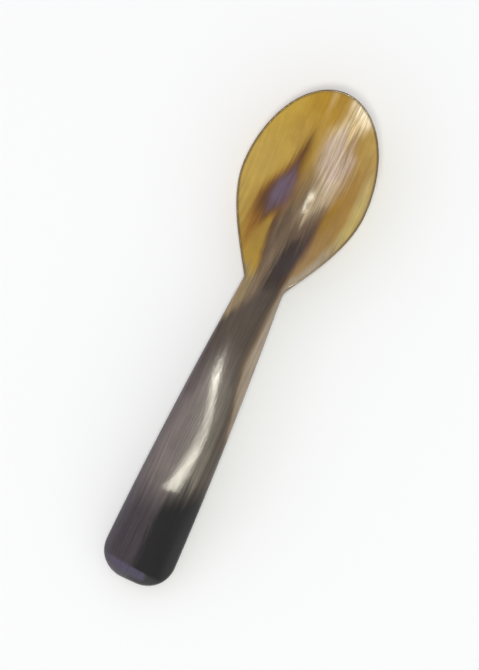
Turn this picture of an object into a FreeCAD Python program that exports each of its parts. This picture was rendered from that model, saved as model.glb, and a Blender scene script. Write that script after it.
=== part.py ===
import FreeCAD, Part
import math
import os
from FreeCAD import Vector

# A table spoon worked from one piece of horn, lying hollow side up on the plane z = 0.
# The tip points along +X and the origin is under the middle of the length.
# Places along the spoon, called stations, are measured from the butt,
# which is the broad end of the handle. Left and right are +Y and -Y.
# All sizes are in millimetres, and angles are in degrees.

# Plan outline
spoon_length = 150.0
bowl_length = 58.4          # neck to tip
bowl_front = 28.7           # widest place of the bowl to the tip
bowl_width = 37.3
tip_fullness = 0.5523       # 0.5523 makes the front half a half ellipse
shoulder_angle = 32.5       # between the bowl's sides and the axis, at the neck
neck_width = 11.9
neck_shift = 0.65           # the neck sits this far to the right
left_neck_radius = 0.9
right_neck_radius = 3.0
handle_width = 18.1         # halfway along the handle
butt_width = 21.4
butt_corner_radius = 8.4

# Bowl
bowl_depth = 8.5
bowl_floor = 1.6
rim_thickness = 1.4
hollow_lead = 2.0           # the hollow starts this far behind the neck
deep_back = 3.0             # the deepest place is this far behind the widest
deep_right = 2.9            # and this far to the right of the axis

# Line of the spoon seen from the side, as heights of its top.
# A share is a share of the handle's length, from the butt.
butt_top = 4.9
bend_share = 0.297          # the handle droops from here to the butt
bend_top = 12.1
bend_softness = 0.5         # how gradual that bend is
crest_share = 0.491
crest_top = 12.6
fall_share = 0.731          # from here it goes down to the neck
fall_top = 11.9
throat_back = 3.6           # a little behind the neck
throat_top = 9.5
dip_ahead = 10.4            # the rim is lowest this far into the bowl
dip_top = 8.5
tip_lift = 0.8              # tip above the middle of the rim

# Handle section
butt_thickness = 5.6
handle_thickness = 5.4
neck_thickness = 4.6
butt_crown = 2.6            # middle of the top above its sides
neck_crown = 1.3
crown_squareness = 0.4      # 0 is a plain arch, 1 is flat with steep sides
underside_hollow = 0.9      # natural hollow of the horn along the back of the handle
neck_keel = 1.0             # back of the neck rounds down by this much
side_turn = 0.3             # top and back turn towards each other at the handle's sides
neck_blend = 3.0            # softens the neck's corner in the cross-sections
crest_shift = 0.3           # the high line lies this far to the right
crest_wander = 2.2          # and weaves from side to side as scraped by hand
wander_station = 28.0
wander_length = 60.0

# Where the handle's section turns into the bowl's, behind and ahead of the neck
section_back = 8.0
section_ahead = 9.0
thinning_back = 6.0
thinning_ahead = 16.0

# Finishing
bevel_length = 4.1          # filed bevel across the butt
bevel_skew = 0.086          # the bevel runs a little deeper on the left
bevel_angle = 24.0
bevel_curl = 0.08           # it steepens towards the end
eased_edge = 0.4
skin_step = 2.0             # the formulas are followed at stations this far apart
skin_margin = 3.0           # the skins reach this far past both ends
facet_error = 0.01          # how closely the resting height is measured

neck = spoon_length - bowl_length
widest = spoon_length - bowl_front
half_bowl = bowl_width / 2
rim_top = bowl_depth + bowl_floor
bend_station = bend_share * neck
crest_station = crest_share * neck


def ease(start, end, station):
    """Goes smoothly from 0 at the start to 1 at the end."""
    share = min(1.0, max(0.0, (station - start) / (end - start)))
    return share ** 3 * (share * (6 * share - 15) + 10)


def mix(first, second, share):
    return first + (second - first) * share


def handle_half(station):
    """Half the handle's width, a parabola through its three widths."""
    share = station / neck
    butt_part = (1 - share) * (1 - 2 * share) * butt_width / 2
    middle_part = 4 * share * (1 - share) * handle_width / 2
    neck_part = share * (2 * share - 1) * neck_width / 2
    return butt_part + middle_part + neck_part


def shoulder_half(station):
    """Half the bowl's width from neck to widest place, a cubic that leaves the neck at an angle."""
    length = widest - neck
    slope = math.tan(math.radians(shoulder_angle))
    if station < neck:
        return neck_width / 2 + slope * (station - neck)
    share = min(1.0, (station - neck) / length)
    rise = share ** 2 * (3 - 2 * share)
    return mix(neck_width / 2, half_bowl, rise) + slope * length * share * (1 - share) ** 2


def section_half(station):
    """Half width of the cross-sections: the outline's, with the neck's corner softened."""
    on_handle = handle_half(station)
    on_bowl = shoulder_half(station)
    softening = neck_blend * (1 - ease(neck, widest, station))
    return (on_handle + on_bowl + math.hypot(on_bowl - on_handle, softening)) / 2


def side_line():
    """The top line seen from the side, a smooth curve through its named heights."""
    stations = [bend_station, crest_station, fall_share * neck, neck - throat_back]
    stations += [neck + dip_ahead, widest, spoon_length]
    heights = [bend_top, crest_top, fall_top, throat_top, dip_top, rim_top, rim_top + tip_lift]
    line = Part.BSplineCurve()
    points = [Vector(station, 0, height) for station, height in zip(stations, heights)]
    line.interpolate(Points=points, Parameters=stations)
    return line


top_line = side_line()


def line_height(station):
    """Height of the top line, which bends down to the butt and goes straight on past the tip."""
    inside = min(spoon_length, max(bend_station, station))
    slope = top_line.getDN(inside, 1).z
    upper = top_line.value(inside).z + slope * (station - inside)
    droop = mix(butt_top, bend_top, station / bend_station)
    return (upper + droop - math.hypot(upper - droop, bend_softness)) / 2


def hollow_share(station, across):
    """How deep the bowl is here: about 1 at its deepest place, 0 along the rim."""
    ahead = (station - widest) / bowl_front
    lean = 1 - 3 * deep_back / bowl_front * ahead - 2 * deep_right / half_bowl * across
    if station > widest:
        return (1 - ahead ** 2 - across ** 2) * lean
    run = (widest - station) / (widest - neck + hollow_lead)
    return max(0.0, 1 - run ** 2) ** 2 * (1 - across ** 2) * lean


def handle_share(station):
    """1 on the handle, 0 in the bowl, and a smooth change across the neck."""
    return 1 - ease(neck - section_back, neck + section_ahead, station)


def side_drop(station, across):
    return side_turn * across ** 6 * handle_share(station)


def crown_drop(station, y):
    """How far the arched top of the handle has fallen below its high line."""
    turn = 2 * math.pi * (station - wander_station) / wander_length
    high_line = -crest_shift - crest_wander * math.sin(turn)
    from_high_line = (y - high_line) / section_half(station)
    from_middle = y / section_half(station)
    crown = mix(butt_crown, neck_crown, ease(0, neck, station))
    arch = mix(from_high_line ** 2, from_middle ** 4, crown_squareness)
    return crown * arch * handle_share(station)


def top_height(station, y):
    across = y / section_half(station)
    hollow = bowl_depth * hollow_share(station, across)
    return line_height(station) - hollow - crown_drop(station, y) - side_drop(station, across)


def bevel_height(station, y):
    """The top lowered towards the end, behind a line across the butt."""
    behind = bevel_length + bevel_skew * y - station
    fall = behind * math.tan(math.radians(bevel_angle)) + bevel_curl * behind * abs(behind)
    return top_height(station, y) - fall


def bottom_height(station, y):
    across = y / section_half(station)
    along_handle = mix(butt_thickness, handle_thickness, ease(0, crest_station, station))
    to_neck = mix(along_handle, neck_thickness, ease(crest_station, neck, station))
    thinned = ease(neck - thinning_back, neck + thinning_ahead, station)
    thickness = mix(to_neck, rim_thickness, thinned)
    outer_depth = bowl_depth + bowl_floor - rim_thickness
    outside = outer_depth * hollow_share(station, across)
    back = mix(-underside_hollow, neck_keel, ease(crest_station, neck, station))
    keel_share = 1 - ease(neck, neck + thinning_ahead, station)
    back_rise = back * across ** 2 * keel_share + side_drop(station, across)
    return line_height(station) - thickness - outside + back_rise


def skin(height, last):
    """A smooth sheet over the plan from behind the butt, at the height given by a function."""
    rows = 1 + math.ceil((last + skin_margin) / skin_step)
    columns = 13
    grid = []
    for row in range(rows):
        station = mix(-skin_margin, last, row / (rows - 1))
        reach = 1.15 * section_half(station)
        places = [mix(-reach, reach, column / (columns - 1)) for column in range(columns)]
        grid.append([Vector(station, y, height(station, y)) for y in places])
    sheet = Part.BSplineSurface()
    sheet.interpolate(grid)
    return sheet.toShape()


def bezier(*points):
    curve = Part.BezierCurve()
    curve.setPoles(list(points))
    return curve.toShape()


def outline_side(side):
    """One side of the outline from butt to tip: side is 1 for left, -1 for right."""
    butt = Vector(0, side * butt_width / 2, 0)
    middle = Vector(neck / 2, side * handle_width / 2 - neck_shift / 2, 0)
    corner = Vector(neck, side * neck_width / 2 - neck_shift, 0)
    cheek = Vector(widest, side * half_bowl, 0)
    tip = Vector(spoon_length, 0, 0)
    third = (widest - neck) / 3
    leaving = Vector(third, side * third * math.tan(math.radians(shoulder_angle)), 0)
    handle_edge = Part.Arc(butt, middle, corner).toShape()
    rear_edge = bezier(corner, corner + leaving, cheek - Vector(third, 0, 0), cheek)
    along = Vector(tip_fullness * bowl_front, 0, 0)
    outward = Vector(0, side * tip_fullness * half_bowl, 0)
    front_edge = bezier(cheek, cheek + along, tip + outward, tip)
    return [handle_edge, rear_edge, front_edge], butt, corner


def upright_edge(block, foot):
    """The block's vertical edge that stands over a point of the outline."""
    for edge in block.Edges:
        offsets = [math.hypot(end.X - foot.x, end.Y - foot.y) for end in edge.Vertexes]
        if len(offsets) == 2 and max(offsets) < 0.001:
            return edge


def blank():
    """An upright block with the spoon's outline, its corners already rounded."""
    left_edges, left_butt, left_neck = outline_side(1)
    right_edges, right_butt, right_neck = outline_side(-1)
    butt_end = Part.LineSegment(left_butt, right_butt).toShape()
    edges = Part.sortEdges(left_edges + right_edges + [butt_end])[0]
    height = 3 * max(crest_top, rim_top)
    block = Part.Face(Part.Wire(edges)).extrude(Vector(0, 0, height))
    block.translate(Vector(0, 0, -height / 3))
    butt_radius = min(butt_corner_radius, 0.49 * butt_width)
    block = block.makeFillet(butt_radius, [upright_edge(block, left_butt), upright_edge(block, right_butt)])
    block = block.makeFillet(left_neck_radius, [upright_edge(block, left_neck)])
    return block.makeFillet(right_neck_radius, [upright_edge(block, right_neck)])


def rim_edges(shape):
    """Every edge that doesn't stand upright."""
    chosen = []
    for edge in shape.Edges:
        start = edge.Vertexes[0]
        end = edge.Vertexes[-1]
        if math.hypot(end.X - start.X, end.Y - start.Y) > 0.001:
            chosen.append(edge)
    return chosen


def spoon():
    block = blank()
    far = 4 * max(crest_top, rim_top)
    last = spoon_length + skin_margin
    above = skin(top_height, last).extrude(Vector(0, 0, far))
    behind = skin(bevel_height, 3 * bevel_length).extrude(Vector(0, 0, far))
    below = skin(bottom_height, last).extrude(Vector(0, 0, -far))
    shaped = block.cut(above).cut(behind).cut(below).Solids[0]
    easing = min(eased_edge, rim_thickness / 3)
    eased = shaped.makeChamfer(easing, rim_edges(shaped)).Solids[0]
    lowest = min(point.z for point in eased.tessellate(facet_error)[0])
    eased.translate(Vector(-spoon_length / 2, 0, -lowest))
    return eased


os.makedirs("parts", exist_ok=True)
body = spoon()
body.exportStep("parts/spoon.step")
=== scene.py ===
import math

import bpy
import numpy as np
from mathutils import Matrix, Vector, kdtree, noise


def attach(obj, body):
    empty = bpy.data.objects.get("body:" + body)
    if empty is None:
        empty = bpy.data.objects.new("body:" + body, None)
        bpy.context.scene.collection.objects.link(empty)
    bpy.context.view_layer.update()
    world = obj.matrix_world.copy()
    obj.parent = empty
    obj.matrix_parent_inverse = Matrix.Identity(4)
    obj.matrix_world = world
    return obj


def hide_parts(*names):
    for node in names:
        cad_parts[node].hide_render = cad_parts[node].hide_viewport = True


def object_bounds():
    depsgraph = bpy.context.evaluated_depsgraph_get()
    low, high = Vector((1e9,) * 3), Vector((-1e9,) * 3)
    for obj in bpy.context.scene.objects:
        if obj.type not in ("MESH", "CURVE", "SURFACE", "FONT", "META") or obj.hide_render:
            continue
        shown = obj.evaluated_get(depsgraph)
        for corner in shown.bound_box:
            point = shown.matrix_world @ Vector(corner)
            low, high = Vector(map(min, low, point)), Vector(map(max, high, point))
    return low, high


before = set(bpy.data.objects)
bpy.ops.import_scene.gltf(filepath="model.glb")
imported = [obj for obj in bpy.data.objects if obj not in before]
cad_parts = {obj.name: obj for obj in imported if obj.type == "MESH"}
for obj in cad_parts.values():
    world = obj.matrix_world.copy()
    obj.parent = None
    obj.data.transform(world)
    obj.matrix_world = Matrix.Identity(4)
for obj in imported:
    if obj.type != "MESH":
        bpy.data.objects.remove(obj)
cadBox = [[float(value) for value in corner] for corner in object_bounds()]
print("frame loaded")

mm = 0.001

# The spoon's form in millimetres. Stations run along it from the butt, left is +Y.
spoonForm = {
    # the part's source has the same sizes, but radii and arcs where softnesses stand here
    "length": 150.0,
    "bowlLength": 58.4,           # neck to tip
    "bowlFront": 28.7,            # widest place of the bowl to the tip
    "bowlWidth": 37.3,
    "shoulderAngle": 32.5,        # degrees, bowl's sides against the axis at the neck
    "neckWidth": 11.9,
    "neckShift": 0.65,            # the neck sits this far to the right
    "leftNeckSoftness": 0.2,
    "rightNeckSoftness": 0.7,
    "handleWidth": 18.1,          # halfway along the handle
    "buttWidth": 21.4,
    "buttCorner": 8.4,
    "bowlDepth": 8.5,
    "bowlFloor": 1.6,
    "rimThickness": 1.4,
    "hollowLead": 2.0,            # the hollow begins this far behind the neck
    "deepBack": 3.0,              # the bowl's deepest place lies behind the widest
    "deepRight": 2.9,             # and to the right of the axis
    "buttTop": 4.9,
    "bendSoftness": 0.5,          # the handle bends down to the butt in a short corner
    "bendShare": 0.297,           # shares of the handle's length, and the top's heights there
    "bendTop": 12.1,
    "crestShare": 0.491,
    "crestTop": 12.6,
    "fallShare": 0.731,           # the handle starts to fall here
    "fallTop": 11.9,
    "throatBack": 3.6,            # a little behind the neck
    "throatTop": 9.5,
    "dipAhead": 10.4,             # the rim is lowest this far into the bowl
    "dipTop": 8.5,
    "tipLift": 0.8,               # the tip is this much higher than the widest place
    "buttThickness": 5.6,
    "handleThickness": 5.4,
    "neckThickness": 4.6,
    "buttCrown": 2.6,
    "neckCrown": 1.3,
    "crownSquareness": 0.4,
    "undersideHollow": 0.9,
    "neckKeel": 1.0,
    "sideTurn": 0.3,
    "sectionBack": 8.0,           # the handle's section ends between these two, counted from the neck
    "sectionAhead": 9.0,
    "thinningBack": 6.0,          # and the neck's thickness goes over into the rim's between these
    "thinningAhead": 16.0,
    "neckBlend": 3.0,
    "crestShift": 0.3,
    "crestWander": 2.2,           # the high line weaves from side to side
    "wanderStation": 28.0,
    "wanderLength": 60.0,
    "bevelLength": 4.1,
    "bevelSkew": 0.086,
    "bevelAngle": 24.0,
    "bevelCurl": 0.08,
    "bevelSoftness": 0.12,
    # only here: the rounding of the edges, the hand-worked surface and the mesh
    "handleEdge": 0.7,            # how round the edges are
    "bowlEdge": 0.55,
    "edgeLimit": 0.45,            # and the share of the thickness that they may take
    "handUnevenness": 0.05,       # scraped by hand, so no face is quite true
    "backUnevenness": 0.025,
    "flatLength": 11.0,           # of the flats and dips left by the scraper
    "flatWidth": 4.5,
    "flatSeed": 2.5,
    "traceStep": 0.02,            # the outline is traced this finely, then divided into the mesh's steps
    "traceButt": 60,
    "traceCorner": 240,
    "traceFront": 1600,
    "sideSteps": 330,             # mesh steps along each long side
    "endSteps": 52,               # and across
    "buttShare": 0.3,             # how much of the corner belongs to the mesh's butt end
    "tipShare": 0.27,             # and of the bowl's front to its tip end
    "ringInsets": [0.0, 0.02, 0.07, 0.15, 0.27, 0.42, 0.6, 0.82, 1.1],    # rings of faces along the edge
}

neck = spoonForm["length"] - spoonForm["bowlLength"]
widest = spoonForm["length"] - spoonForm["bowlFront"]
halfBowl = spoonForm["bowlWidth"] / 2
bowlTop = spoonForm["bowlDepth"] + spoonForm["bowlFloor"]
bendStation = spoonForm["bendShare"] * neck
crestStation = spoonForm["crestShare"] * neck


def ease(start, end, station):
    share = np.clip((station - start) / (end - start), 0, 1)
    return share ** 3 * (share * (6 * share - 15) + 10)


def mix(first, second, share):
    return first + (second - first) * share


def splineThrough(knots):
    # natural cubic spline, the same curve as the CAD's side line
    places, heights = np.array(knots).T
    gaps = np.diff(places)
    system = np.eye(len(places))
    pulls = np.zeros(len(places))
    for i in range(1, len(places) - 1):
        system[i, i - 1:i + 2] = gaps[i - 1], 2 * (gaps[i - 1] + gaps[i]), gaps[i]
        slopeAfter = (heights[i + 1] - heights[i]) / gaps[i]
        slopeBefore = (heights[i] - heights[i - 1]) / gaps[i - 1]
        pulls[i] = 6 * (slopeAfter - slopeBefore)
    bends = np.linalg.solve(system, pulls)

    def height(station):
        i = np.clip(np.searchsorted(places, station) - 1, 0, len(gaps) - 1)
        before = (places[i + 1] - station) / gaps[i]
        after = (station - places[i]) / gaps[i]
        curved = (before ** 3 - before) * bends[i] + (after ** 3 - after) * bends[i + 1]
        inside = before * heights[i] + after * heights[i + 1] + curved * gaps[i] ** 2 / 6
        startSlope = (heights[1] - heights[0]) / gaps[0] - gaps[0] * bends[1] / 6
        return np.where(station < places[0], heights[0] + startSlope * (station - places[0]), inside)

    return height


# the top seen from the side, from the bend to the tip
upperLine = splineThrough([
    (bendStation, spoonForm["bendTop"]),
    (crestStation, spoonForm["crestTop"]),
    (spoonForm["fallShare"] * neck, spoonForm["fallTop"]),
    (neck - spoonForm["throatBack"], spoonForm["throatTop"]),
    (neck + spoonForm["dipAhead"], spoonForm["dipTop"]),
    (widest, bowlTop),
    (spoonForm["length"], bowlTop + spoonForm["tipLift"]),
])


def lineHeight(station):
    droop = mix(spoonForm["buttTop"], spoonForm["bendTop"], station / bendStation)
    upper = upperLine(station)
    return (upper + droop - np.hypot(upper - droop, spoonForm["bendSoftness"])) / 2


def handleHalf(station):
    share = station / neck
    buttPart = (1 - share) * (1 - 2 * share) * spoonForm["buttWidth"] / 2
    middlePart = 4 * share * (1 - share) * spoonForm["handleWidth"] / 2
    neckPart = share * (2 * share - 1) * spoonForm["neckWidth"] / 2
    return buttPart + middlePart + neckPart


def shoulderHalf(station, halfNeck):
    # from the neck to the widest place, and straight on behind the neck
    run = widest - neck
    slope = math.tan(math.radians(spoonForm["shoulderAngle"]))
    share = np.clip((station - neck) / run, 0, 1)
    rise = share ** 2 * (3 - 2 * share)
    onBowl = mix(halfNeck, halfBowl, rise) + slope * run * share * (1 - share) ** 2
    return np.where(station < neck, halfNeck + slope * (station - neck), onBowl)


def sectionHalf(station):
    onHandle = handleHalf(station)
    onBowl = shoulderHalf(station, spoonForm["neckWidth"] / 2)
    softening = spoonForm["neckBlend"] * (1 - ease(neck, widest, station))
    return (onHandle + onBowl + np.hypot(onBowl - onHandle, softening)) / 2


def hollowShare(station, across):
    ahead = (station - widest) / spoonForm["bowlFront"]
    front = 1 - ahead ** 2 - across ** 2
    run = (widest - station) / (widest - neck + spoonForm["hollowLead"])
    rear = np.clip(1 - run ** 2, 0, None) ** 2 * (1 - across ** 2)
    lean = (1 - 3 * spoonForm["deepBack"] / spoonForm["bowlFront"] * ahead
            - 2 * spoonForm["deepRight"] / halfBowl * across)
    return np.where(station > widest, front, rear) * lean


def handleShare(station):
    return 1 - ease(neck - spoonForm["sectionBack"], neck + spoonForm["sectionAhead"], station)


def sideDrop(station, across):
    return spoonForm["sideTurn"] * across ** 6 * handleShare(station)


def topHeight(station, y):
    half = sectionHalf(station)
    highLine = -spoonForm["crestShift"] - spoonForm["crestWander"] * np.sin(
        2 * np.pi * (station - spoonForm["wanderStation"]) / spoonForm["wanderLength"])
    crown = mix(spoonForm["buttCrown"], spoonForm["neckCrown"], ease(0, neck, station))
    arch = mix(((y - highLine) / half) ** 2, (y / half) ** 4, spoonForm["crownSquareness"])
    hollow = spoonForm["bowlDepth"] * hollowShare(station, y / half)
    full = lineHeight(station) - hollow - crown * arch * handleShare(station) - sideDrop(station, y / half)
    behind = spoonForm["bevelLength"] + spoonForm["bevelSkew"] * y - station
    straight = behind * math.tan(math.radians(spoonForm["bevelAngle"]))
    fall = straight + spoonForm["bevelCurl"] * behind * np.abs(behind)
    fall = (fall + np.hypot(fall, spoonForm["bevelSoftness"])) / 2
    return full - np.where(station < 3 * spoonForm["bevelLength"], fall, 0)


def bottomHeight(station, y):
    across = y / sectionHalf(station)
    toCrest = ease(0, crestStation, station)
    toNeck = ease(crestStation, neck, station)
    thinned = ease(neck - spoonForm["thinningBack"], neck + spoonForm["thinningAhead"], station)
    thickness = mix(spoonForm["buttThickness"], spoonForm["handleThickness"], toCrest)
    thickness = mix(thickness, spoonForm["neckThickness"], toNeck)
    thickness = mix(thickness, spoonForm["rimThickness"], thinned)
    outerDepth = bowlTop - spoonForm["rimThickness"]
    keelShare = 1 - ease(neck, neck + spoonForm["thinningAhead"], station)
    back = mix(-spoonForm["undersideHollow"], spoonForm["neckKeel"], toNeck)
    backRise = back * across ** 2 * keelShare + sideDrop(station, across)
    return lineHeight(station) - thickness - outerDepth * hollowShare(station, across) + backRise


def handleArc(halfButt, halfMiddle, halfNeck):
    # circle through one handle edge: its middle's station, its middle's offset and its radius
    rows = [[0, 2 * halfButt, 1], [neck, 2 * halfMiddle, 1], [2 * neck, 2 * halfNeck, 1]]
    squares = [halfButt ** 2, (neck / 2) ** 2 + halfMiddle ** 2, neck ** 2 + halfNeck ** 2]
    station, offset, rest = np.linalg.solve(rows, squares)
    return station, offset, math.sqrt(rest + station ** 2 + offset ** 2)


def outlineSide(shift, softness):
    # one side of the outline as points (station, distance from the axis), from butt middle to tip
    halfNeck = spoonForm["neckWidth"] / 2 + shift
    arc = handleArc(spoonForm["buttWidth"] / 2, spoonForm["handleWidth"] / 2 + shift / 2, halfNeck)
    corner = spoonForm["buttCorner"]
    cornerOffset = arc[1] + math.sqrt((arc[2] - corner) ** 2 - (corner - arc[0]) ** 2)
    lean = math.atan2(cornerOffset - arc[1], corner - arc[0])
    turns = np.linspace(math.pi, lean, spoonForm["traceCorner"])
    rounded = np.stack([corner + corner * np.cos(turns), cornerOffset + corner * np.sin(turns)], 1)
    station = np.arange(rounded[-1, 0] + spoonForm["traceStep"], widest, spoonForm["traceStep"])
    onHandle = arc[1] + np.sqrt(arc[2] ** 2 - (station - arc[0]) ** 2)
    onBowl = shoulderHalf(station, halfNeck)
    edge = (onHandle + onBowl + np.hypot(onBowl - onHandle, softness)) / 2
    angles = np.linspace(0, math.pi / 2, spoonForm["traceFront"])
    front = np.stack([widest + spoonForm["bowlFront"] * np.sin(angles), halfBowl * np.cos(angles)], 1)
    offsets = np.linspace(0, cornerOffset, spoonForm["traceButt"], endpoint=False)
    straight = np.stack([np.zeros(len(offsets)), offsets], 1)
    return np.concatenate([straight, rounded, np.stack([station, edge], 1), front])


def resampled(path, steps):
    lengths = np.concatenate([[0], np.cumsum(np.hypot(*np.diff(path, axis=0).T))])
    marks = np.linspace(0, lengths[-1], steps + 1)
    return np.stack([np.interp(marks, lengths, path[:, 0]), np.interp(marks, lengths, path[:, 1])], 1)


def outlineLoop():
    # anticlockwise from above: across the butt, up the right side, round the tip, down the left side
    left = outlineSide(-spoonForm["neckShift"], spoonForm["leftNeckSoftness"])
    right = outlineSide(spoonForm["neckShift"], spoonForm["rightNeckSoftness"]) * [1, -1]
    corner = spoonForm["buttShare"] * spoonForm["buttCorner"]
    tip = spoonForm["length"] - spoonForm["tipShare"] * spoonForm["bowlFront"]
    parts = []
    for side in (left, right):
        start = np.argmax(side[:, 0] > corner)
        end = np.argmax(side[:, 0] > tip)
        parts.append((side[:start + 1], side[start:end + 1], side[end:]))
    (buttLeft, sideLeft, tipLeft), (buttRight, sideRight, tipRight) = parts
    butt = resampled(np.concatenate([buttLeft[::-1], buttRight[1:]]), spoonForm["endSteps"])
    tipEnd = resampled(np.concatenate([tipRight, tipLeft[::-1][1:]]), spoonForm["endSteps"])
    rising = resampled(sideRight, spoonForm["sideSteps"])
    falling = resampled(sideLeft[::-1], spoonForm["sideSteps"])
    loop = np.concatenate([butt[:-1], rising[:-1], tipEnd[:-1], falling[:-1]])
    return loop, np.concatenate([left, right])


def fourSides(ring):
    # the butt's and the tip's row run from left to right, the side rows from butt to tip
    ends, sides = spoonForm["endSteps"], spoonForm["sideSteps"]
    butt = ring[:ends + 1]
    right = ring[ends:ends + sides + 1]
    tip = ring[ends + sides:2 * ends + sides + 1][::-1]
    left = np.concatenate([ring[2 * ends + sides:], ring[:1]])[::-1]
    return butt, right, tip, left


def stretchedField(ring):
    # a grid of points stretched between the four sides of a ring
    butt, right, tip, left = fourSides(ring)
    u = np.linspace(0, 1, len(butt))[:, None, None]
    v = np.linspace(0, 1, len(right))[None, :, None]
    corners = ((1 - u) * (1 - v) * butt[0] + u * (1 - v) * butt[-1]
               + (1 - u) * v * tip[0] + u * v * tip[-1])
    return (1 - v) * butt[:, None] + v * tip[:, None] + (1 - u) * left[None] + u * right[None] - corners


def edgeRoundness(station):
    return mix(spoonForm["bowlEdge"], spoonForm["handleEdge"], handleShare(station))


def unevenness(plan, side):
    # gentle flats and dips, from -1 to 1
    length, width = spoonForm["flatLength"], spoonForm["flatWidth"]
    seed = spoonForm["flatSeed"] + side
    return np.array([noise.noise(Vector((station / length, y / width, seed))) for station, y in plan])


def ringHeights(plan, inset, side):
    # side is 1 for the top and -1 for the back; the edge rolls over within its roundness
    station, y = plan.T
    upper = topHeight(station, y)
    lower = bottomHeight(station, y)
    roundness = np.minimum(edgeRoundness(station), spoonForm["edgeLimit"] * (upper - lower))
    short = np.clip(1 - inset / roundness, 0, 1)
    roll = roundness * (1 - np.sqrt(1 - short ** 2))
    soft = inset / spoonForm["ringInsets"][-1] * unevenness(plan, side)
    if side > 0:
        return upper - roll + soft * spoonForm["handUnevenness"]
    return lower + roll + soft * spoonForm["backUnevenness"]


def buildSpoon():
    loop, outline = outlineLoop()
    tangent = np.roll(loop, -1, 0) - np.roll(loop, 1, 0)
    tangent /= np.hypot(*tangent.T)[:, None]
    inward = np.stack([-tangent[:, 1], tangent[:, 0]], 1)
    insets = spoonForm["ringInsets"]
    field = stretchedField(loop + inward * insets[-1])
    inside = field[1:-1, 1:-1].reshape(-1, 2)

    plans, heights = [], []
    indices = {}
    total = 0

    def addPoints(name, plan, height):
        nonlocal total
        plans.append(plan)
        heights.append(height)
        indices[name] = np.arange(total, total + len(plan))
        total += len(plan)

    for side in (1, -1):
        for i, inset in enumerate(insets):
            ring = loop + inward * inset
            addPoints((side, i), ring, ringHeights(ring, inset, side))
        addPoints((side, "field"), inside, ringHeights(inside, insets[-1], side))
    high, low = heights[0], heights[len(insets) + 1]
    for i in (1, 2):
        addPoints(("wall", i), loop, mix(low, high, i / 3))

    faces = []
    for side in (1, -1):
        for i in range(len(insets) - 1):
            outer, nearer = indices[side, i], indices[side, i + 1]
            quads = np.stack([outer, np.roll(outer, -1), np.roll(nearer, -1), nearer], 1)
            faces.append(quads if side > 0 else quads[:, ::-1])
        grid = np.zeros(field.shape[:2], int)
        grid[1:-1, 1:-1] = indices[side, "field"].reshape(grid[1:-1, 1:-1].shape)
        grid[:, 0], grid[-1], grid[:, -1], grid[0] = fourSides(indices[side, len(insets) - 1])
        quads = np.stack([grid[:-1, :-1], grid[1:, :-1], grid[1:, 1:], grid[:-1, 1:]], -1).reshape(-1, 4)
        faces.append(quads if side > 0 else quads[:, ::-1])
    walls = [indices[-1, 0], indices["wall", 1], indices["wall", 2], indices[1, 0]]
    for low, high in zip(walls, walls[1:]):
        faces.append(np.stack([low, np.roll(low, -1), np.roll(high, -1), high], 1))

    plan = np.concatenate(plans)
    height = np.concatenate(heights)
    height += cadBox[0][2] / mm - height.min()
    points = np.stack([plan[:, 0] - spoonForm["length"] / 2, plan[:, 1], height], 1) * mm
    points[:, :2] = np.clip(points[:, :2], cadBox[0][:2], cadBox[1][:2])
    mesh = bpy.data.meshes.new("hornSpoon")
    mesh.from_pydata(points.tolist(), [], np.concatenate(faces).tolist())
    mesh.polygons.foreach_set("use_smooth", [True] * len(mesh.polygons))

    # distance from the outline in millimetres, for what follows the rim
    tree = kdtree.KDTree(len(outline))
    for i, place in enumerate(outline):
        tree.insert((place[0], place[1], 0), i)
    tree.balance()
    distances = [tree.find((s, y, 0))[2] for s, y in plan]
    attribute = mesh.attributes.new("fromRim", "FLOAT", "POINT")
    attribute.data.foreach_set("value", distances)
    mesh.validate()
    piece = bpy.data.objects.new("hornSpoon", mesh)
    bpy.context.scene.collection.objects.link(piece)
    return piece


spoonPiece = buildSpoon()
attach(spoonPiece, "root")
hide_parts("spoon")
print("spoon built,", len(spoonPiece.data.polygons), "faces")


# Colours are written as 0-255 values, the way a colour picker shows them.
def tone(red, green, blue):
    values = [c / 255 for c in (red, green, blue)]
    return [c / 12.92 if c <= 0.04045 else ((c + 0.055) / 1.055) ** 2.4 for c in values] + [1.0]


def feed(tree, socket, value):
    if isinstance(value, bpy.types.NodeSocket):
        tree.links.new(value, socket)
    else:
        socket.default_value = value


def calc(tree, operation, first, second=0.0, third=0.0):
    node = tree.nodes.new("ShaderNodeMath")
    node.operation = operation
    for socket, value in zip(node.inputs, (first, second, third)):
        feed(tree, socket, value)
    return node.outputs[0]


def between(tree, value, low, high, outLow=0.0, outHigh=1.0, smooth=True):
    node = tree.nodes.new("ShaderNodeMapRange")
    node.interpolation_type = "SMOOTHSTEP" if smooth else "LINEAR"
    for socket, setting in zip(node.inputs, (value, low, high, outLow, outHigh)):
        feed(tree, socket, setting)
    return node.outputs[0]


def blendColour(tree, share, first, second, kind="MIX"):
    node = tree.nodes.new("ShaderNodeMix")
    node.data_type = "RGBA"
    node.blend_type = kind
    node.clamp_factor = True
    feed(tree, node.inputs[0], share)
    feed(tree, node.inputs[6], first)
    feed(tree, node.inputs[7], second)
    return node.outputs[2]


def lineAlong(tree, station, points):
    # a smooth line drawn along the spoon through (station, value) points
    low = min(value for _, value in points) - 1
    high = max(value for _, value in points) + 1
    node = tree.nodes.new("ShaderNodeFloatCurve")
    curve = node.mapping.curves[0]
    places = [(s / spoonForm["length"], (value - low) / (high - low)) for s, value in points]
    curve.points[0].location = (0.0, places[0][1])
    curve.points[1].location = (1.0, places[-1][1])
    for place in places:
        if 0 < place[0] < 1:
            curve.points.new(*place)
    node.mapping.update()
    feed(tree, node.inputs["Value"], calc(tree, "DIVIDE", station, spoonForm["length"]))
    return between(tree, node.outputs[0], 0.0, 1.0, low, high, smooth=False)


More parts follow.
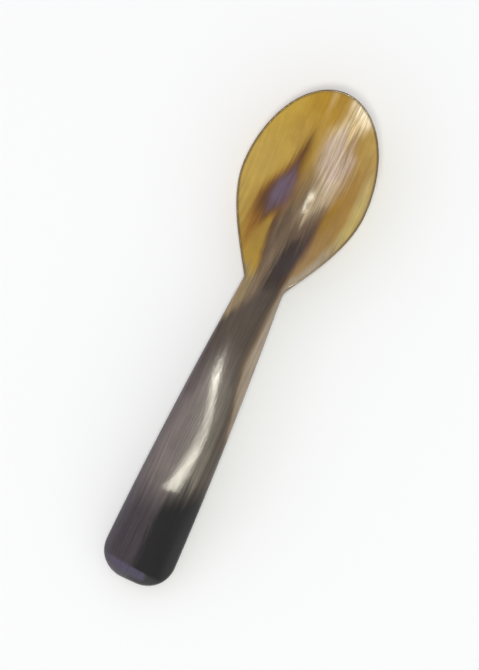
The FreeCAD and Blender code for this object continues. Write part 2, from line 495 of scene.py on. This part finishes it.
def grain(tree, station, y, z, alongScale, acrossScale, detail, rough, seed):
    # noise drawn out along the spoon, 0 to 1
    place = tree.nodes.new("ShaderNodeCombineXYZ")
    feed(tree, place.inputs[0], calc(tree, "MULTIPLY_ADD", station, alongScale, seed))
    feed(tree, place.inputs[1], calc(tree, "MULTIPLY", y, acrossScale))
    feed(tree, place.inputs[2], calc(tree, "MULTIPLY", z, hornFinish["grainRise"] * acrossScale))
    node = tree.nodes.new("ShaderNodeTexNoise")
    node.inputs["Scale"].default_value = 1.0
    node.inputs["Detail"].default_value = detail
    node.inputs["Roughness"].default_value = rough
    tree.links.new(place.outputs[0], node.inputs["Vector"])
    return node.outputs["Fac"]


# The horn's finish. Places are in millimetres: stations from the butt, y from the axis, left is positive.
hornFinish = {
    # red, green, blue, and where a fourth number stands, how strongly the colour covers what is under it
    "colours": {
        "bowlLeft": (182, 151, 68),
        "bowlRight": (150, 113, 24),
        "bowlHeel": (160, 128, 44),           # amber near the neck
        "heelRight": (142, 114, 66),
        "bowlTip": (166, 126, 22, 0.9),       # amber at the tip, and on either side of it
        "tipRight": (168, 138, 58, 0.9),
        "tipLeft": (184, 152, 58, 0.9),
        "bowlCloud": (150, 108, 40, 0.3),
        "paintedRimReflection": (186, 168, 106),         # painted reflection inside the right rim
        "paintedNeckRimReflection": (158, 146, 124),           # the same painted reflection, greyer at the neck's end
        "coreHaze": (124, 101, 74, 0.8),      # where the core thins out in the bowl
        # the milky band: pale horn with painted sheen over it
        "milkySheen": (197, 178, 148),
        "milkyHaze": (186, 168, 170, 0.9),    # faintly violet
        "milkySheenTip": (208, 186, 142),
        # painted reflection at the tip's rim
        "tipRimReflection": (250, 236, 204),
        # painted highlight streaks beside the bowl's highlight
        "highlightStreaks": (197, 178, 148, 0.42),
        "glint": (208, 186, 142, 0.35),       # painted glint, a pale streak to the left of the tip
        "coreUpper": (98, 80, 64),
        "coreLower": (48, 36, 32),
        "coreEdge": (100, 66, 36, 0.8),       # reddish brown line along the core
        "handleLeft": (110, 101, 99),
        "handleRight": (82, 74, 68),
        "handleEdge": (82, 73, 73),           # darker again at its left edge
        "highlightGlow": (110, 105, 96, 0.8),    # painted glow of the highlight, right of the crest
        "buttLeft": (56, 49, 55),             # faintly violet grey
        "buttRight": (14, 12, 14),
        "neckBrown": (72, 62, 54),
        "neckPale": (122, 102, 80, 0.75),
        "bevelReflection": (56, 48, 70),            # painted reflection, a violet cast on the cut end
        "bandPale": (144, 130, 114),          # pale edge on the handle's right
        "bandBrown": (96, 74, 50, 0.8),
        "wedgeAmber": (134, 116, 86),         # amber on the neck's left
        "patchFringe": (142, 92, 0, 0.9),
        "patchBrown": (84, 50, 6),
        "patchHaze": (106, 90, 114),          # bluish bloom
        # painted shade along the rim's rounded edge
        "rimEdgeShade": (84, 64, 32),
    },
    # noise drawn out along the spoon: fineness along and across, detail, roughness, place in the noise
    "grains": {
        "clouds": (0.07, 0.16, 2.0, 0.5, 3.1),
        "drift": (0.03, 0.05, 1.0, 0.5, 60.0),
        "fibres": (0.028, 0.75, 4.0, 0.6, 8.0),
        "hairs": (0.06, 3.2, 3.0, 0.7, 20.0),
        "scrapes": (0.05, 1.7, 3.0, 0.6, 31.0),
        "mottle": (0.22, 0.32, 3.0, 0.6, 90.0),
        "scratches": (0.12, 2.6, 2.0, 0.6, 44.0),
        "scuffs": (0.3, 2.2, 2.0, 0.6, 71.0),
    },
    "grainRise": 0.12,                        # fineness upwards, as a share of that across
    "grainSpan": (0.3, 0.7),                  # nearly all of a grain's values lie in here
    "swings": {
        "drift": 4.0,                         # the fibres don't run quite straight
        "clouds": 1.2,                        # each grain's push on every boundary, from side to side
        "fibres": 2.4,
        "hairs": 1.4,
        "ends": 18.0,                         # along the spoon, where streaks begin and end
        "butt": 5.0,
    },
    "contrasts": {"fibres": 0.28, "scrapes": 0.28, "hairs": 0.45, "mottle": 0.14},
    "bowlContrast": 0.35,                     # how much of the fibres shows in the clear bowl
    # Each change runs from its first place to its second. The notes name what is measured there.
    # Two more numbers are the shares at these places, 0 and 1 if left out.
    "changes": {
        "bowlSides": (9.0, -9.0),             # y
        "heelSides": (2.0, -4.0),
        "heel": (119.0, 100.0, 0.0, 0.85),    # station
        "tip": (132.0, 146.0),
        "tipMiddle": (-3.0, 2.0),             # y
        "tipFlanks": (124.0, 140.0),          # station
        "tipRight": (-5.0, -12.0),            # y
        "tipLeft": (6.5, 11.0),
        "clouds": (0.5, 0.75),                # grain
        "sheenHairs": (0.3, 0.6, 0.6, 1.0),
        "sheenToNeck": (114.0, 102.0),        # station
        "milkyLines": (0.34, 0.6, 0.5, 1.0),  # grain
        "milkyToTip": (136.0, 146.0),         # station
        "hazeStart": (122.0, 130.0),
        "hazeEnd": (142.0, 136.0),
        "hazeHairs": (0.4, 0.6),              # grain
        "tipRimReflection": (5.0, 1.0),               # from the rim, where the painted reflection at the tip lies
        "tipRimReflectionStart": (139.0, 148.0),      # station, where that painted reflection begins
        "startLines": (0.35, 0.6, 0.4, 1.0),  # grain
        "coreLower": (0.9, -1.3),             # from the core's middle line
        "coreLowerEnd": (116.0, 101.0),       # station
        "coreEdge": (1.8, 0.3),               # depth in the core
        "coreEdgeStart": (90.0, 99.0),        # station
        "handleSides": (-6.0, 1.5),           # y
        "handleEdge": (-1.5, 2.0),            # from the edge's line
        "buttSides": (-0.4, 1.4),             # y
        "buttLeftEnd": (18.0, 35.0),          # station
        "buttRightEnd": (21.0, 33.0),
        "neckBrown": (58.0, 76.0),
        "bevel": (0.2, -0.2),                 # from the bevel's inner edge
        "bevelFromRim": (0.7, 2.0),
        "bevelSides": (-5.0, -2.0),           # y
        "neckToBowl": (82.0, 99.0),           # station
        "bandBrown": (-1.2, 0.0),             # depth in the core
        "besideSides": (-1.0, 1.0),           # y
        "besideEnd": (97.0, 91.0),            # station
        "bloomHairs": (0.35, 0.6, 0.7, 1.1),  # grain
        "clearBowl": (90.0, 97.0),            # station
        "rimLine": (0.95, 0.3, 0.0, 0.85),    # from the rim
        "rimStart": (88.0, 96.0),             # station
        "rimRight": (-4.0, 0.0, 108.0, 80.0),  # y, and the stations where the rim's line grows fainter
        "rimRightFade": (-8.0, 6.0, 0.45, 1.0),    # counted from there
    },
    "buttSlant": 0.4,                         # the butt's black reaches further along the right side
    "scuffSlant": 0.35,
    # lines through (station, y) points
    "lines": {
        "coreMiddle": [(84, 0.6), (90, 0.2), (95, -0.3), (100, -1.0), (106, -2.6), (112, -5.2)],
        "handleEdge": [(20, 7.6), (50, 6.6), (58, 4.8), (70, 4.0)],
    },
    # each streak lies between a left and a right line, is soft at its edges and fades between stations
    "streaks": {
        # painted reflection inside the right rim
        "paintedRimReflection": {
            "left": [(92, -5.6), (98, -8.4), (106, -12.0), (112, -13.8), (120, -15.0), (132, -15.4)],
            "right": [(92, -12.0), (98, -14.0), (106, -18.0), (120, -22.0), (130, -22.0)],
            "soft": 1.2,
            "fades": [(86.0, 94.0), (138.0, 124.0)],
        },
        "coreHaze": {
            "left": [(110, 3.4), (118, 2.6), (126, 1.8), (134, 1.0)],
            "right": [(110, -8.0), (118, -8.0), (126, -6.6), (134, -3.0)],
            "soft": 1.4,
            "fades": [(106.0, 113.0), (137.0, 121.0)],
        },
        # the milky band: pale horn with painted sheen over it
        "milkySheen": {
            "left": [(104, -1.4), (110, -1.2), (116, -1.7), (121, -2.8), (126, -2.0), (131, -0.2),
                     (136, 0.0), (141, -1.4), (145, -2.6), (150, -3.2)],
            "right": [(104, -3.4), (110, -4.8), (116, -6.6), (122, -8.8), (128, -9.6), (133, -9.6),
                      (138, -7.6), (141, -8.4), (145, -11.6), (150, -14.5)],
            "soft": 2.6,
            "fades": [(96.0, 110.0)],
        },
        # painted highlight streaks beside the bowl's highlight
        "highlightStreaks": {
            "left": [(106, -0.8), (112, -1.0), (118, -2.0), (124, -3.0)],
            "right": [(106, -2.4), (112, -3.4), (118, -6.4), (124, -8.6)],
            "soft": 1.2,
            "fades": [(106.0, 115.0), (126.0, 118.0)],
        },
        "glint": {
            "left": [(136, 2.8), (150, 3.6)],
            "right": [(136, 2.2), (150, 1.2)],
            "soft": 0.7,
            "fades": [(136.0, 147.0)],
        },
        "core": {
            "left": [(60, 14), (70, 8.6), (76, 6.9), (80, 5.2), (84, 3.6), (88, 2.5), (92, 2.2),
                     (96, 2.8), (101, 3.8), (107, 4.5), (113, 4.3), (119, 3.0), (126, 1.4)],
            "right": [(40, -11.0), (44, -9.7), (50, -8.0), (55, -7.0), (60, -6.0), (65, -5.1),
                      (70, -4.6), (76, -4.5), (82, -4.7), (88, -5.2), (94, -6.0), (99, -7.0),
                      (105, -8.0), (113, -8.4), (126, -8.6)],
            "soft": 1.0,
            "fades": [(128.0, 110.0)],
        },
        # painted glow of the highlight
        "highlightGlow": {
            "left": [(26, -1.6), (36, -3.4), (44, -3.6), (52, -2.6), (60, -1.2), (68, 0.6)],
            "right": [(26, -5.0), (36, -6.8), (44, -6.0), (52, -5.4), (60, -4.4), (68, -2.6)],
            "soft": 1.4,
            "fades": [(27.0, 34.0), (70.0, 60.0)],
        },
        "neckPale": {
            "left": [(80, 3.8), (86, 3.0), (92, 2.2), (100, 1.8), (108, 1.2)],
            "right": [(80, 2.2), (86, 1.0), (92, 0.0), (100, -0.6), (108, -0.8)],
            "soft": 1.0,
            "fades": [(79.0, 88.0), (114.0, 100.0)],
        },
        "patchFringe": {
            "left": [(100, 9.8), (105, 11.0), (112, 11.7), (117, 10.9), (122, 8.6), (128, 6.3), (136, 4.6)],
            "right": [(100, 9.2), (106, 7.6), (110, 5.4), (114, 3.6), (119, 2.8), (130, 2.9), (136, 3.2)],
            "soft": 1.8,
            "fades": [(95.0, 103.0), (140.0, 128.0)],
        },
        "patchBrown": {
            "left": [(103, 9.7), (108, 10.4), (113, 10.7), (117, 9.9), (121, 7.9), (126, 6.1),
                     (131, 5.2), (137, 4.5)],
            "right": [(103, 9.3), (107, 7.6), (111, 5.2), (115, 3.6), (119, 2.9), (123, 3.1),
                      (128, 3.2), (137, 3.4)],
            "soft": 1.6,
            "fades": [(103.0, 114.0), (142.0, 130.0)],
        },
        "patchHaze": {
            "left": [(108, 7.2), (112, 8.2), (117, 7.9), (122, 6.8), (128, 5.4)],
            "right": [(108, 6.6), (112, 4.6), (116, 3.6), (120, 3.2), (124, 3.8), (128, 4.8)],
            "soft": 1.9,
            "fades": [(108.0, 117.0), (131.0, 121.0)],
        },
    },
    "roughness": 0.5,
    "roughnessSwings": {"scrapes": 0.06, "clouds": 0.05},
    "coatRoughness": 0.115,
    "specular": 0.2,
    "coat": 0.6,
    "refraction": 1.5,
    "scratchDepth": 0.000016,
}


def hornMaterial():
    material = bpy.data.materials.new("polishedHorn")
    material.use_nodes = True
    tree = material.node_tree
    shader = tree.nodes["Principled BSDF"]
    finish = hornFinish

    split = tree.nodes.new("ShaderNodeSeparateXYZ")
    tree.links.new(tree.nodes.new("ShaderNodeTexCoord").outputs["Object"], split.inputs[0])
    station = calc(tree, "MULTIPLY_ADD", split.outputs[0], 1 / mm, spoonForm["length"] / 2)
    y = calc(tree, "DIVIDE", split.outputs[1], mm)
    z = calc(tree, "DIVIDE", split.outputs[2], mm)
    rim = tree.nodes.new("ShaderNodeAttribute")
    rim.attribute_name = "fromRim"
    fromRim = rim.outputs["Fac"]

    def add(first, second):
        return calc(tree, "ADD", first, second)

    def less(first, second):
        return calc(tree, "SUBTRACT", first, second)

    def times(first, second):
        return calc(tree, "MULTIPLY", first, second)

    def blend(share, first, second, kind="MIX"):
        return blendColour(tree, share, first, second, kind)

    def change(value, name):
        return between(tree, value, *finish["changes"][name])

    def horn(name, sideways=y):
        return grain(tree, station, sideways, z, *finish["grains"][name])

    def swing(source, name):
        width = finish["swings"][name]
        return calc(tree, "MULTIPLY_ADD", source, width, -width / 2)

    def shade(source, name):
        half = finish["contrasts"][name] / 2
        return between(tree, source, *finish["grainSpan"], 1 - half, 1 + half, smooth=False)

    def line(name):
        return lineAlong(tree, station, finish["lines"][name])

    def colourOf(name):
        return tone(*finish["colours"][name][:3])

    def paint(colour, share, name):
        for strength in finish["colours"][name][3:]:
            share = times(share, strength)
        return blend(share, colour, colourOf(name))

    clouds = horn("clouds")
    bentY = add(y, swing(horn("drift"), "drift"))
    fibres = horn("fibres", bentY)
    hairs = horn("hairs", bentY)
    scrapes = horn("scrapes", bentY)
    across = add(add(y, swing(clouds, "clouds")), add(swing(fibres, "fibres"), swing(hairs, "hairs")))
    along = add(station, swing(fibres, "ends"))

    def depthIn(name):
        # how far a point lies inside a streak, negative outside
        form = finish["streaks"][name]
        fromLeft = less(lineAlong(tree, station, form["left"]), across)
        fromRight = less(across, lineAlong(tree, station, form["right"]))
        return calc(tree, "MINIMUM", fromLeft, fromRight)

    def streak(name):
        form = finish["streaks"][name]
        share = between(tree, depthIn(name), -form["soft"], form["soft"])
        for fade in form["fades"]:
            share = times(share, between(tree, along, *fade))
        return share

    # bowl
    colour = blend(change(y, "bowlSides"), colourOf("bowlLeft"), colourOf("bowlRight"))
    heel = blend(change(y, "heelSides"), colourOf("bowlHeel"), colourOf("heelRight"))
    colour = blend(change(along, "heel"), colour, heel)
    colour = paint(colour, times(change(along, "tip"), change(across, "tipMiddle")), "bowlTip")
    for name in ("tipRight", "tipLeft"):
        colour = paint(colour, times(change(along, "tipFlanks"), change(across, name)), name)
    colour = paint(colour, change(clouds, "clouds"), "bowlCloud")
    # painted reflection inside the right rim, broken by the fibres
    sheen = blend(change(along, "sheenToNeck"), colourOf("paintedRimReflection"), colourOf("paintedNeckRimReflection"))
    colour = blend(times(streak("paintedRimReflection"), change(hairs, "sheenHairs")), colour, sheen)
    colour = paint(colour, streak("coreHaze"), "coreHaze")

    # milky band towards the tip: pale horn with painted sheen, a painted reflection at the tip's rim and a
    # painted glint
    milkySheen = streak("milkySheen")
    milkySheenColour = blend(change(along, "milkyToTip"), colourOf("milkySheen"), colourOf("milkySheenTip"))
    hazy = times(change(along, "hazeStart"), change(along, "hazeEnd"))
    milkySheenColour = paint(milkySheenColour, times(hazy, change(hairs, "hazeHairs")), "milkyHaze")
    # painted reflection along the tip's rim
    atRim = times(change(fromRim, "tipRimReflection"), change(along, "tipRimReflectionStart"))
    milkySheenColour = paint(milkySheenColour, atRim, "tipRimReflection")
    colour = blend(times(milkySheen, change(scrapes, "milkyLines")), colour, milkySheenColour)
    colour = paint(colour, streak("glint"), "glint")

    # dark core running from the handle into the bowl, first its part in the bowl
    core = streak("core")
    coreDepth = depthIn("core")
    lower = times(change(less(across, line("coreMiddle")), "coreLower"), change(along, "coreLowerEnd"))
    bowlCore = blend(lower, colourOf("coreUpper"), colourOf("coreLower"))
    edgeLine = times(change(coreDepth, "coreEdge"), change(station, "coreEdgeStart"))
    bowlCore = paint(bowlCore, edgeLine, "coreEdge")

    # the handle's middle with a painted glow beside the highlight, then the butt with a painted reflection
    # on its cut end, then the neck
    middle = blend(change(across, "handleSides"), colourOf("handleRight"), colourOf("handleLeft"))
    middle = paint(middle, change(less(across, line("handleEdge")), "handleEdge"), "handleEdge")
    middle = paint(middle, streak("highlightGlow"), "highlightGlow")
    frayed = add(station, swing(fibres, "butt"))
    slanted = calc(tree, "MULTIPLY_ADD", across, finish["buttSlant"], frayed)
    leftSide = blend(change(frayed, "buttLeftEnd"), colourOf("buttLeft"), middle)
    rightSide = blend(change(slanted, "buttRightEnd"), colourOf("buttRight"), middle)
    handleCore = blend(change(across, "buttSides"), rightSide, leftSide)
    handleCore = paint(handleCore, change(along, "neckBrown"), "neckBrown")
    # painted reflection on the cut end
    bevelEdge = calc(tree, "MULTIPLY_ADD", y, spoonForm["bevelSkew"], spoonForm["bevelLength"])
    bevel = times(change(less(station, bevelEdge), "bevel"), change(fromRim, "bevelFromRim"))
    handleCore = paint(handleCore, times(bevel, change(across, "bevelSides")), "bevelReflection")
    coreColour = blend(change(along, "neckToBowl"), handleCore, bowlCore)
    coreColour = paint(coreColour, streak("neckPale"), "neckPale")

    # beside the core: amber wedge on the left of the neck, pale band on the right of the handle
    beside = paint(colourOf("bandPale"), change(coreDepth, "bandBrown"), "bandBrown")
    beside = blend(change(y, "besideSides"), beside, colourOf("wedgeAmber"))
    colour = blend(change(along, "besideEnd"), colour, beside)
    colour = blend(core, colour, coreColour)

    # painted highlight streaks, in the milky band's colour, lie over the core
    colour = paint(colour, times(streak("highlightStreaks"), change(scrapes, "startLines")), "highlightStreaks")

    # brown patch on the left of the bowl, with its bluish bloom and the brown streak ahead of it
    colour = paint(colour, streak("patchFringe"), "patchFringe")
    colour = paint(colour, streak("patchBrown"), "patchBrown")
    colour = paint(colour, times(streak("patchHaze"), change(hairs, "bloomHairs")), "patchHaze")

    # lengthwise fibres through everything, fainter in the clear bowl
    clear = times(less(1.0, calc(tree, "MAXIMUM", core, milkySheen)), change(station, "clearBowl"))
    shown = between(tree, clear, 0.0, 1.0, 1.0, finish["bowlContrast"])
    colour = blend(1.0, colour, shade(horn("mottle"), "mottle"), "MULTIPLY")
    for name, source in (("fibres", fibres), ("scrapes", scrapes), ("hairs", hairs)):
        colour = blend(shown, colour, blend(1.0, colour, shade(source, name), "MULTIPLY"))

    # painted shade: the dark line along the rim's rounded edge, fainter on the right of the shoulder
    rimShare = times(change(fromRim, "rimLine"), change(station, "rimStart"))
    rimShare = times(rimShare, change(less(station, change(y, "rimRight")), "rimRightFade"))
    feed(tree, shader.inputs["Base Color"], paint(colour, rimShare, "rimEdgeShade"))

    byScrapes = finish["roughnessSwings"]["scrapes"]
    byClouds = finish["roughnessSwings"]["clouds"]
    roughness = add(between(tree, scrapes, *finish["grainSpan"], -byScrapes, byScrapes),
                    between(tree, clouds, *finish["grainSpan"], finish["roughness"] - byClouds,
                            finish["roughness"] + byClouds))
    feed(tree, shader.inputs["Roughness"], roughness)
    shader.inputs["Specular IOR Level"].default_value = finish["specular"]
    shader.inputs["Coat Weight"].default_value = finish["coat"]
    shader.inputs["Coat Roughness"].default_value = finish["coatRoughness"]
    shader.inputs["IOR"].default_value = finish["refraction"]

    scuffs = horn("scuffs", calc(tree, "MULTIPLY_ADD", station, finish["scuffSlant"], y))
    bump = tree.nodes.new("ShaderNodeBump")
    bump.inputs["Strength"].default_value = 1.0
    bump.inputs["Distance"].default_value = finish["scratchDepth"]
    feed(tree, bump.inputs["Height"], add(horn("scratches", bentY), add(scrapes, scuffs)))
    tree.links.new(bump.outputs[0], shader.inputs["Normal"])
    tree.links.new(bump.outputs[0], shader.inputs["Coat Normal"])
    return material


spoonPiece.data.materials.append(hornMaterial())
print("horn finish made")


studio = {
    "cameraHeight": 1.0,
    "shownHeight": 0.18811,            # metres of the spoon's plane from top to bottom of the picture
    "planeHeight": 0.008,
    "turn": -65.81,                    # degrees, puts the tip up and to the right
    "aim": (0.00098, -0.00026),
    "sensorHeight": 24.0,
    "farthestSeen": 20.0,
    "floorReach": 4.0,
    "floorColour": (240, 242, 247),
    "floorRoughness": 0.9,
    "overheadGlow": 0.37,              # the room's own light from above
    "leftGlow": 1.4,                   # and from low down, brighter on the left
    "rightGlow": 1.0,
    "glowHeights": (0.8, 0.3),         # where the one goes over into the other
    "glowSides": (-0.5, 0.5),
    "rightTint": (1.0, 1.0, 0.99),
    "leftTint": (0.97, 0.95, 1.06),
    "lampColour": (1.0, 0.98, 0.82),
}

# Each lamp: where it hangs, its size along and across the spoon, and its brightness.
lamps = {
    "overheadButt": {"place": (-0.265, 0.005, 1.4), "size": (0.26, 0.27), "radiance": 23.0},
    "overheadMiddle": {"place": (-0.07, -0.04, 1.4), "size": (0.25, 0.036), "radiance": 67.0},
    "overheadTip": {"place": (0.12, 0.02, 1.4), "size": (0.19, 0.029), "radiance": 172.0},
}


def buildStudio():
    scene = bpy.context.scene
    scene.view_settings.view_transform = "Standard"

    floorMesh = bpy.data.meshes.new("studioFloor")
    reach = studio["floorReach"]
    floorMesh.from_pydata([(-reach, -reach, 0), (reach, -reach, 0), (reach, reach, 0), (-reach, reach, 0)],
                          [], [(0, 1, 2, 3)])
    floor = bpy.data.objects.new("studioFloor", floorMesh)
    scene.collection.objects.link(floor)
    paper = bpy.data.materials.new("studioPaper")
    paper.use_nodes = True
    sheet = paper.node_tree.nodes["Principled BSDF"]
    sheet.inputs["Base Color"].default_value = tone(*studio["floorColour"])
    sheet.inputs["Roughness"].default_value = studio["floorRoughness"]
    sheet.inputs["Specular IOR Level"].default_value = 0.0
    floorMesh.materials.append(paper)

    world = bpy.data.worlds.new("studioWorld")
    world.use_nodes = True
    tree = world.node_tree
    background = tree.nodes["Background"]
    seen = tree.nodes.new("ShaderNodeLightPath").outputs["Is Camera Ray"]
    split = tree.nodes.new("ShaderNodeSeparateXYZ")
    tree.links.new(tree.nodes.new("ShaderNodeTexCoord").outputs["Generated"], split.inputs[0])
    leftward = between(tree, split.outputs[1], *studio["glowSides"])
    low = between(tree, leftward, 0.0, 1.0, studio["rightGlow"], studio["leftGlow"], smooth=False)
    glow = between(tree, split.outputs[2], *studio["glowHeights"], studio["overheadGlow"], low)
    tint = blendColour(tree, leftward, (*studio["rightTint"], 1.0), (*studio["leftTint"], 1.0))
    feed(tree, background.inputs["Color"], blendColour(tree, seen, tint, (1.0, 1.0, 1.0, 1.0)))
    feed(tree, background.inputs["Strength"], between(tree, seen, 0.0, 1.0, glow, 1.0, smooth=False))
    scene.world = world

    for name, lamp in lamps.items():
        light = bpy.data.lights.new(name, "AREA")
        light.shape = "ELLIPSE"
        light.size, light.size_y = lamp["size"]
        light.energy = math.pi * lamp["size"][0] * lamp["size"][1] * lamp["radiance"]
        light.color = studio["lampColour"]
        holder = bpy.data.objects.new(name, light)
        target = Vector((0, 0, studio["planeHeight"]))
        back = (Vector(lamp["place"]) - target).normalized()
        along = (Vector((1, 0, 0)) - back * back.x).normalized()
        up = back.cross(along)
        holder.matrix_world = Matrix((along, up, back)).transposed().to_4x4()
        holder.location = lamp["place"]
        holder.visible_camera = False
        scene.collection.objects.link(holder)

    camera = bpy.data.cameras.new("overheadCamera")
    camera.sensor_fit = "VERTICAL"
    camera.sensor_height = studio["sensorHeight"]
    distance = studio["cameraHeight"] - studio["planeHeight"]
    camera.lens = camera.sensor_height * distance / studio["shownHeight"]
    camera.clip_end = studio["farthestSeen"]
    holder = bpy.data.objects.new("overheadCamera", camera)
    holder.location = (*studio["aim"], studio["cameraHeight"])
    holder.rotation_euler = (0, 0, math.radians(studio["turn"]))
    scene.collection.objects.link(holder)
    scene.camera = holder


buildStudio()
print("studio set")
